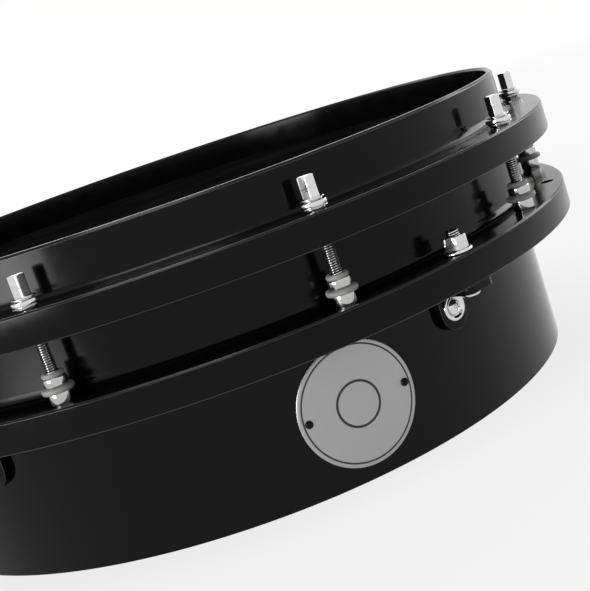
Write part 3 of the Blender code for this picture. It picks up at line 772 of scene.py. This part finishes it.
def make_rods():
    """A square key head, its thin flange and a threaded shank, about the rod's own axis."""
    half = KEY_HALF
    top = KEY_TOP
    rows = [(0.0, top * MM)]
    rows += [key_row(share, half, top, 0.30) for share in (0.3, 0.6, 0.85, 1.0)]
    for inset, drop in ((0.16, 0.05), (0.05, 0.16), (0.0, 0.36)):
        rows.append(key_row(1.0, half, top, inset, drop))
    rows += [key_side(half, 9.0), key_side(half, 5.7), key_side(half + 0.12, 5.4), key_side(half + 0.4, 5.27)]
    rows += scaled([(5.1, 5.25), (5.32, 5.18), (5.4, 5.02), (5.4, 4.92), (5.32, 4.78), (5.1, 4.72),
                    (4.55, 4.7), (4.5, 4.62), (4.5, 4.36), (4.4, 4.22), (ROD_RADIUS, 4.2),
                    (ROD_RADIUS, -2.4)])
    slots = [0] * len(rows)
    rows += thread_rows(-2.5, -27.0, ROD_RADIUS)
    slots += [1] * (len(rows) - len(slots))
    rows += scaled([(ROD_RADIUS, -27.2), (ROD_RADIUS, -45.4)])
    slots += [0] * 2
    rows += thread_rows(-45.6, -49.6, ROD_RADIUS)
    slots += [1] * (len(rows) - len(slots))
    rows += scaled([(2.6, -49.7), (1.9, -50.3), (0.0, -50.3)])
    slots += [0] * 3
    mesh = polar("tension_rod_detail", rows, key_angles(), slots)
    spins = [math.radians(a) for a in (31, 4, 38, -14, 61, 25, 12, 73, 23, 56)]
    for number, turn in enumerate(lug_turns(), start=1):
        place = around(turn, ROD_CIRCLE, HOOP_FLANGE) @ Matrix.Rotation(spins[number - 1], 4, "Z")
        rod = link(f"tension_rod_{number:02d}_detail", mesh, [CHROME, THREAD], place)
        stand_for(rod, f"rod_{number:02d}", "chrome", f"tension_rod_{number:02d}")


def make_washers():
    """A thick washer over a thin one, on a narrow neck, which reads as a stack of discs."""
    rows = scaled([(3.2, 3.9), (5.3, 3.9), (5.72, 3.78), (5.9, 3.45), (5.9, 2.35), (5.78, 2.0), (5.4, 1.86),
                   (4.9, 1.84), (4.9, 1.7), (5.6, 1.68), (5.92, 1.6), (6.0, 1.46), (5.92, 1.32), (5.6, 1.26),
                   (4.7, 1.24), (4.6, 1.14), (4.6, 0.5), (4.5, 0.3), (3.2, 0.3)])
    mesh = polar("rod_washer_detail", rows, even(SMALL_STEPS), closed=True)
    for number, turn in enumerate(lug_turns(), start=1):
        place = around(turn, ROD_CIRCLE, HOOP_FLANGE)
        washer = link(f"rod_washer_{number:02d}_detail", mesh, [CHROME], place)
        stand_for(washer, "hoop", "chrome", f"rod_washer_{number:02d}")


def make_barrels():
    """A nickel barrel with a nylon cap and a nylon grommet round its middle."""
    profile = [
        (3.0, 13.7, 1), (3.9, 13.7, 1), (4.4, 13.55, 1), (4.68, 13.2, 1), (4.76, 12.65, 1), (4.68, 12.1, 1),
        (4.4, 11.68, 1), (4.2, 11.6, 0), (4.75, 11.55, 0), (4.95, 11.35, 0), (5.02, 11.1, 0), (5.02, 7.75, 0),
        (4.95, 7.6, 1), (5.9, 7.6, 1), (6.4, 7.48, 1), (6.72, 7.1, 1), (6.82, 6.55, 1), (6.82, 6.25, 1),
        (6.72, 5.7, 1), (6.4, 5.32, 1), (5.9, 5.2, 1), (4.8, 5.2, 0), (4.86, 5.0, 0), (4.86, 0.9, 0),
        (4.75, 0.5, 0), (4.45, 0.3, 0), (4.2, 0.3, 0), (4.2, -6.6, 0), (3.9, -7.0, 0), (3.0, -7.0, 0),
    ]
    rows = scaled([(r, z) for r, z, _ in profile])
    slots = [slot for _, _, slot in profile]
    mesh = polar("barrel_nut_detail", rows, even(SMALL_STEPS), slots, closed=True)
    for number, turn in enumerate(lug_turns(), start=1):
        place = around(turn, ROD_CIRCLE, RING_FLANGE)
        barrel = link(f"barrel_nut_{number:02d}_detail", mesh, [NICKEL, NYLON], place)
        stand_for(barrel, "drum_body", "satin_nickel", f"barrel_nut_{number:02d}")


def make_brackets():
    """A bent strip: its leg lies on the shell and its arm reaches out under the ring."""
    half = BRACKET_HALF
    plate = BRACKET_PLATE
    seat = SHELL_RADIUS / MM + GAP
    top = BRACKET_TOP
    foot = top - BRACKET_LEG
    end = BAND_RADIUS / MM - 0.1 - seat
    bend = BRACKET_BEND
    corner = BRACKET_CORNER
    middle = plate / 2
    rows = []
    for i in range(9):
        turn = math.radians(90 * i / 8)
        rows.append((middle, foot + half - half * math.cos(turn), half * math.sin(turn)))
    rows.append((middle, top - 7.0, half))
    for i in range(7):
        turn = math.radians(90 * i / 6)
        rise = top - middle - bend + bend * math.sin(turn)
        rows.append((middle + bend - bend * math.cos(turn), rise, half))
    for i in range(7):
        turn = math.radians(90 * i / 6)
        reach = end - corner + corner * math.sin(turn)
        rows.append((reach, top - middle, half - corner + corner * math.cos(turn)))
    across = [-1.0, -0.6, -0.2, 0.2, 0.6, 1.0]
    verts = [(x * MM, width * share * MM, z * MM) for x, z, width in rows for share in across]
    count = len(across)
    faces = []
    for i in range(len(rows) - 1):
        for j in range(count - 1):
            faces.append((i * count + j, i * count + j + 1, (i + 1) * count + j + 1, (i + 1) * count + j))
    mesh = finish_mesh("ring_bracket_detail", verts, faces)
    item = link("bracket_source", mesh, [BRACKET_BLACK, HOOP_EDGE_HIGHLIGHT])
    thick = item.modifiers.new("thick", "SOLIDIFY")
    thick.thickness = plate * MM
    thick.offset = 0.0
    edge = item.modifiers.new("edge", "BEVEL")
    edge.width = 0.45 * MM
    edge.segments = 2
    edge.limit_method = "ANGLE"
    edge.angle_limit = math.radians(50)
    # the bevels take the edge coat with its painted highlight
    edge.material = 1
    bpy.context.view_layer.update()
    graph = bpy.context.evaluated_depsgraph_get()
    solid = bpy.data.meshes.new_from_object(item.evaluated_get(graph))
    solid.name = "ring_bracket_detail"
    smooth(solid)
    bpy.data.objects.remove(item)
    for number, turn in enumerate(bracket_turns(), start=1):
        place = around(turn, seat * MM, 0.0)
        bracket = link(f"ring_bracket_{number:02d}_detail", solid, [], place)
        stand_for(bracket, "drum_body", "bracket_black", f"ring_bracket_{number:02d}")


def hexagon(angle, across):
    local = (angle - NUT_TURN + math.pi / 6) % (math.pi / 3) - math.pi / 6
    return across / 2 / math.cos(local)


def hex_row(across, height, limit):
    """A row of a hexagon whose corners are cut by a cone of radius limit."""
    def row(angle):
        return min(hexagon(angle, across), limit) * MM, height * MM

    return row


def make_ring_bolts():
    """The bolt's threaded end, a flanged hex nut, the sleeve under the ring and the head."""
    across = NUT_ACROSS
    rows = scaled([(0.0, 10.5), (2.3, 10.5), (2.75, 10.1)])
    slots = [0] * len(rows)
    rows += thread_rows(10.0, 7.6, 3.0)
    slots += [1] * (len(rows) - len(slots))
    rows += scaled([(3.1, 7.55), (4.4, 7.7)])
    rows += [hex_row(across, 7.7, 4.75), hex_row(across, 7.45, 5.3), hex_row(across, 7.0, 5.9)]
    rows += [hex_row(across, 4.0, 5.9), hex_row(across, 1.9, 5.9)]
    rows += scaled([(5.95, 1.75), (6.45, 1.35), (6.7, 1.0), (6.7, 0.5), (6.5, 0.3), (3.0, 0.3), (3.0, -3.3),
                    (4.4, -3.3), (4.6, -3.6), (4.6, -13.3), (4.4, -13.7), (3.0, -13.7), (3.0, -17.5),
                    (4.5, -17.5), (4.7, -17.75), (4.62, -18.5), (4.2, -19.2), (3.5, -19.6), (2.6, -19.7)])
    rows += [hex_row(KEY_SOCKET, -19.7, 9.0), hex_row(KEY_SOCKET, -18.4, 9.0)]
    rows += [(0.0, -18.2 * MM)]
    slots += [0] * (len(rows) - len(slots))
    mesh = polar("ring_bolt_detail", rows, even(BOLT_STEPS), slots)
    for number, turn in enumerate(bracket_turns(), start=1):
        place = around(turn, ROD_CIRCLE, RING_FLANGE)
        bolt = link(f"ring_bolt_{number:02d}_detail", mesh, [CHROME, THREAD], place)
        stand_for(bolt, "drum_body", "chrome", f"ring_bolt_{number:02d}")


def cross_recess(reach, half, depth):
    """The depth of a cross-shaped recess at a point across the head, in millimetres."""
    def depth_at(x, y):
        arm = min(abs(x), abs(y))
        far = max(abs(x), abs(y))
        side = min(1.0, max(0.0, (half - arm) / 0.25))
        end = min(1.0, max(0.0, (reach - far) / 0.6))
        return depth * side * end

    return depth_at


def make_shell_screws():
    """A cup washer with a rolled rim, and a domed cross-head screw in it."""
    outer = scaled([(3.62, 3.6), (3.7, 3.75), (3.95, 3.85), (4.5, 4.15), (5.0, 4.62), (5.4, 4.85),
                    (5.85, 4.8), (6.2, 4.5), (6.38, 4.05), (6.4, 3.7), (6.25, 3.5), (2.4, 3.5),
                    (2.4, -6.7), (4.4, -6.7), (4.5, -6.9), (4.5, -9.5), (4.3, -9.7), (0.0, -9.7)])
    recess = cross_recess(2.1, 0.5, 1.3)
    head = [0.0, 0.2, 0.4, 0.6, 0.8, 1.0, 1.25, 1.5, 1.75, 2.0, 2.25, 2.5, 2.75, 3.0, 3.25, 3.45, 3.6]

    def head_row(radius):
        def row(angle):
            x = radius * math.cos(angle + math.radians(20))
            y = radius * math.sin(angle + math.radians(20))
            height = 6.55 - 0.17 * radius * radius
            return radius * MM, (height - recess(x, y)) * MM

        return row

    rows = [head_row(radius) for radius in head] + outer
    mesh = polar("shell_screw_detail", rows, even(SCREW_STEPS))
    for number, turn in enumerate(bracket_turns(), start=1):
        place = outwards(turn, SHELL_RADIUS, SCREW_HEIGHT)
        screw = link(f"shell_screw_{number:02d}_detail", mesh, [CHROME], place)
        stand_for(screw, "drum_body", "chrome", f"shell_screw_{number:02d}")


def make_badge():
    """A disc that follows the shell, with an eased edge and two rivets."""
    center = BADGE_HEIGHT
    seat = SHELL_RADIUS + GAP * MM
    place = outwards(BADGE_TURN, seat, center)
    home = place.inverted()
    rings = [(0.0, 1.0), (8.0, 1.0), (16.0, 1.0), (22.0, 1.0), (26.6, 1.0), (27.1, 0.9), (27.4, 0.6),
             (27.4, 0.0)]
    steps = BADGE_STEPS
    verts = []
    for radius, lift in rings:
        for angle in even(steps):
            aside = radius * math.cos(angle) * MM
            up = radius * math.sin(angle) * MM
            turn = BADGE_TURN + aside / seat
            face = seat + lift * MM
            spot = Vector((face * math.cos(turn), face * math.sin(turn), center + up))
            verts.append(home @ spot)
    faces = []
    for i in range(len(rings) - 1):
        for j in range(steps):
            k = (j + 1) % steps
            faces.append((i * steps + j, (i + 1) * steps + j, (i + 1) * steps + k, i * steps + k))
    verts.append(home @ Vector((seat * math.cos(BADGE_TURN), seat * math.sin(BADGE_TURN), center)))
    last = len(verts) - 1
    rim = (len(rings) - 1) * steps
    for j in range(steps):
        faces.append((rim + j, last, rim + (j + 1) % steps))
    badge = link("badge_detail", finish_mesh("badge_detail", verts, faces), [BADGE_METAL], place)
    stand_for(badge, "drum_body", "badge_silver", "badge")
    rows = scaled([(0.0, 2.6), (0.6, 2.56), (1.15, 2.38), (1.55, 2.05), (1.8, 1.65), (1.75, 1.45), (1.1, 1.4),
                   (1.1, -4.0), (0.0, -4.0)])
    mesh = polar("badge_rivet_detail", rows, even(RIVET_STEPS))
    for number, side in enumerate((-1, 1), start=1):
        turn = BADGE_TURN + side * RIVET_SPREAD / SHELL_RADIUS
        spot = outwards(turn, SHELL_RADIUS, center)
        rivet = link(f"badge_rivet_{number:02d}_detail", mesh, [RIVET_BLACK], spot)
        stand_for(rivet, "drum_body", "rivet_black", f"badge_rivet_{number:02d}")


def make_snares():
    """Round twisted strands between two cast end plates."""
    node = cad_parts["snare_strands"]
    away = Matrix.Rotation(-SNARE_TURN, 4, "Z")
    points = [away @ v.co for v in node.data.vertices]
    low = Vector([min(p[i] for p in points) for i in range(3)])
    high = Vector([max(p[i] for p in points) for i in range(3)])
    plate = END_PLATE_LENGTH
    shape = bmesh.new()
    for start in (low.x, high.x - plate):
        middle = (start + plate / 2, 0.0, (low.z + high.z) / 2)
        size = Matrix.Diagonal((plate, high.y - low.y, high.z - low.z, 1.0))
        made = bmesh.ops.create_cube(shape, size=1.0, matrix=Matrix.Translation(middle) @ size)
        edges = list({e for v in made["verts"] for e in v.link_edges})
        bmesh.ops.bevel(shape, geom=edges, offset=0.4 * MM, segments=2, affect="EDGES")
    spread = high.y - low.y - 2 * END_PLATE_MARGIN
    for number in range(STRAND_COUNT):
        aside = -spread / 2 + spread * number / (STRAND_COUNT - 1)
        length = high.x - low.x - plate
        place = Matrix.Translation(((low.x + high.x) / 2, aside, (low.z + high.z) / 2))
        place = place @ Matrix.Rotation(math.radians(90), 4, "Y")
        bmesh.ops.create_cone(shape, cap_ends=True, segments=14, radius1=STRAND_RADIUS, radius2=STRAND_RADIUS,
                              depth=length, matrix=place)
    mesh = bpy.data.meshes.new("snare_strands_detail")
    shape.to_mesh(mesh)
    shape.free()
    smooth(mesh)
    strands = link("snare_strands_detail", mesh, [GUT], Matrix.Rotation(SNARE_TURN, 4, "Z"))
    stand_for(strands, "drum_body", "gut_white", "snare_strands")


def make_thumbscrew():
    """The adjuster's knurled knob and its thread, about the screw's own axis."""
    axis = outwards(SNARE_TURN, ADJUSTER_START, ADJUSTER_HEIGHT)
    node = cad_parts["adjuster_screw"]
    home = axis.inverted()
    heights = [(home @ v.co).z / MM for v in node.data.vertices]
    low = min(heights)
    high = max(heights)

    def knurl(radius, height):
        def row(angle):
            return (radius - 0.18 * abs(math.sin(angle * 18))) * MM, height * MM

        return row

    rows = scaled([(0.0, high), (1.7, high), (2.1, high - 0.5)])
    slots = [0] * len(rows)
    rows += thread_rows(high - 0.6, -0.5, 2.2)
    slots += [1] * (len(rows) - len(slots))
    rows += scaled([(2.2, -0.4), (7.2, -0.4)])
    rows += [knurl(7.9, -0.9), knurl(7.9, low + 0.9)]
    rows += scaled([(7.2, low + 0.1), (4.0, low), (3.6, low + 0.5), (0.0, low + 0.5)])
    slots += [0] * (len(rows) - len(slots))
    mesh = polar("adjuster_screw_detail", rows, even(KNOB_STEPS), slots)
    screw = link("adjuster_screw_detail", mesh, [CHROME, THREAD], axis)
    stand_for(screw, "snare_adjuster", "chrome", "adjuster_screw")


def dress_blocks():
    """The snare blocks keep their solids, with eased edges and drawn aluminium."""
    for name in ("snare_butt", "adjuster_block", "snare_carriage"):
        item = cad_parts[name]
        item.data.materials.clear()
        item.data.materials.append(ALUMINIUM)
        edge = item.modifiers.new("edge", "BEVEL")
        edge.width = 0.3 * MM
        edge.segments = 2
        edge.limit_method = "ANGLE"
        edge.angle_limit = math.radians(50)


make_shell()
make_head()
make_rings()
make_rods()
make_washers()
make_barrels()
make_brackets()
make_ring_bolts()
make_shell_screws()
make_badge()
make_snares()
make_thumbscrew()
dress_blocks()


def make_camera():
    data = bpy.data.cameras.new("camera")
    data.sensor_fit = "HORIZONTAL"
    data.sensor_width = SENSOR_WIDTH
    data.lens = SENSOR_WIDTH * FOCAL_PIXELS / PHOTO_WIDTH
    data.clip_start = 0.01
    camera = bpy.data.objects.new("camera", data)
    bpy.context.scene.collection.objects.link(camera)
    matrix = Matrix((CAMERA_RIGHT, CAMERA_UP, CAMERA_BACK)).transposed().to_4x4()
    matrix.translation = CAMERA_SPOT
    camera.matrix_world = matrix
    bpy.context.scene.camera = camera


class Tree(Nodes):
    """The same short calls for a tree with no Principled shader."""

    def __init__(self, tree):
        self.tree = tree


def seen(n):
    """1 for rays that see the background straight, in a mirror or through glass."""
    path = n.add("ShaderNodeLightPath")
    mirrored = n.math("MAXIMUM", path.outputs["Is Glossy Ray"], path.outputs["Is Transmission Ray"])
    return n.math("MAXIMUM", path.outputs["Is Camera Ray"], mirrored)


def make_world():
    """A white backdrop, the same straight and in mirrors, over a low light all round."""
    world = bpy.data.worlds.new("studio")
    bpy.context.scene.world = world
    world.use_nodes = True
    world.node_tree.nodes.clear()
    n = Tree(world.node_tree)
    mix = n.add("ShaderNodeMixShader")
    n.join(seen(n), mix.inputs[0])
    for socket, strength in ((mix.inputs[1], AMBIENT), (mix.inputs[2], 1.0)):
        shader = n.add("ShaderNodeBackground")
        shader.inputs["Strength"].default_value = strength
        shader.inputs["Color"].default_value = (1.0, 1.0, 1.0, 1.0)
        n.join(shader.outputs[0], socket)
    n.join(mix.outputs[0], n.add("ShaderNodeOutputWorld").inputs[0])


def make_floor():
    """A pale floor that keeps the drum's shadow and goes over into the backdrop."""
    mesh = bpy.data.meshes.new("floor")
    sides = ((-1, -1), (1, -1), (1, 1), (-1, 1))
    corners = [(x * FLOOR_SIZE, y * FLOOR_SIZE, FLOOR_HEIGHT) for x, y in sides]
    mesh.from_pydata(corners, [], [(0, 1, 2, 3)])
    material = bpy.data.materials.new("pale_floor")
    material.use_nodes = True
    n = Nodes(material)
    n.shader.inputs["Base Color"].default_value = FLOOR_COLOR
    n.shader.inputs["Roughness"].default_value = 0.9
    n.shader.inputs["Specular IOR Level"].default_value = 0.1
    white = n.spread(n.radius(n.place()), FLOOR_WHITE_FROM, FLOOR_WHITE_FULL, FLOOR_WHITE, 1.0)
    glow = n.add("ShaderNodeEmission")
    glow.inputs["Strength"].default_value = 1.0
    mix = n.add("ShaderNodeMixShader")
    n.join(n.math("MULTIPLY", white, seen(n)), mix.inputs[0])
    n.join(n.shader.outputs[0], mix.inputs[1])
    n.join(glow.outputs[0], mix.inputs[2])
    n.join(mix.outputs[0], n.tree.nodes["Material Output"].inputs["Surface"])
    link("floor", mesh, [material])


def make_lamp(name, spot, aim, width, height, power, spread=180.0):
    data = bpy.data.lights.new(name, "AREA")
    data.shape = "RECTANGLE"
    data.size = width
    data.size_y = height
    data.energy = power
    data.spread = math.radians(spread)
    lamp = bpy.data.objects.new(name, data)
    bpy.context.scene.collection.objects.link(lamp)
    lamp.location = spot
    lamp.rotation_euler = (Vector(aim) - Vector(spot)).to_track_quat("-Z", "Y").to_euler()


make_camera()
make_world()
make_floor()
make_lamp("key_left", (-1.36, -1.08, 0.42), (0.0, 0.0, 0.45), 0.92, 0.90, 3.6, 60.0)
make_lamp("fill_right", (1.35, 0.75, 0.60), (0.0, 0.0, 0.08), 0.60, 0.80, 5.5)
make_lamp("overhead", (-0.10, -0.25, 1.25), (0.0, 0.0, 0.1), 0.50, 0.50, 4.0)
make_lamp("rim_back", (0.1, 1.3, 1.5), (0.0, 0.0, 0.1), 1.8, 0.9, 14.0)
bpy.context.scene.view_settings.view_transform = "Standard"
